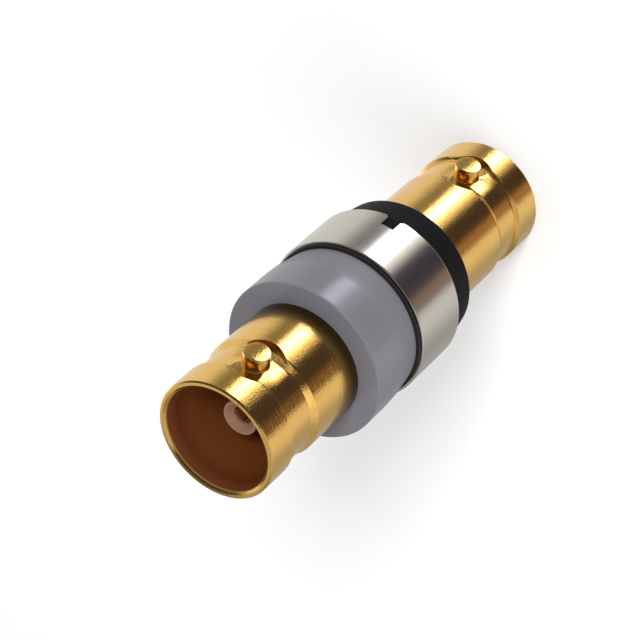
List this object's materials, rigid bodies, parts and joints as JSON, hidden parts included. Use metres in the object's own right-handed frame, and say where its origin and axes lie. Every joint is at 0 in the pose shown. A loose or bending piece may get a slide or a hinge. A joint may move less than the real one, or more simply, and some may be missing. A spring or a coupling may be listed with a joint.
{
  "type": "insulated bnc jack-to-jack feedthrough",
  "caption": "Straight insulated feedthrough with a bayonet coaxial jack at each end, a grey collar, a plated sleeve with a keyway and a black bush between.",
  "frame": {"origin": "centre of the rear rim, on which the part stands", "axes": "+Z along the axis to the front rim; the bayonet lugs stand out along X, and the keyway is on the +X side"},
  "size_m": [0.0132, 0.0132, 0.0374],
  "materials": {
    "gold_plate": "polished gold plating on turned brass",
    "gold_contact": "gold plating on a copper alloy",
    "nickel_plate": "satin nickel plating on turned brass",
    "grey_insulator": "moulded, half gloss",
    "black_insulator": "moulded, matt",
    "black_rubber": "matt",
    "white_dielectric": "milky, slightly waxy"
  },
  "bodies": {
    "root": {"front_shell": "gold_plate", "rear_shell": "gold_plate", "front_collar": "grey_insulator", "gasket": "black_rubber", "sleeve": "nickel_plate", "rear_bush": "black_insulator", "front_dielectric": "white_dielectric", "rear_dielectric": "white_dielectric", "centre_contact": "gold_contact"}
  },
  "joints": []
}
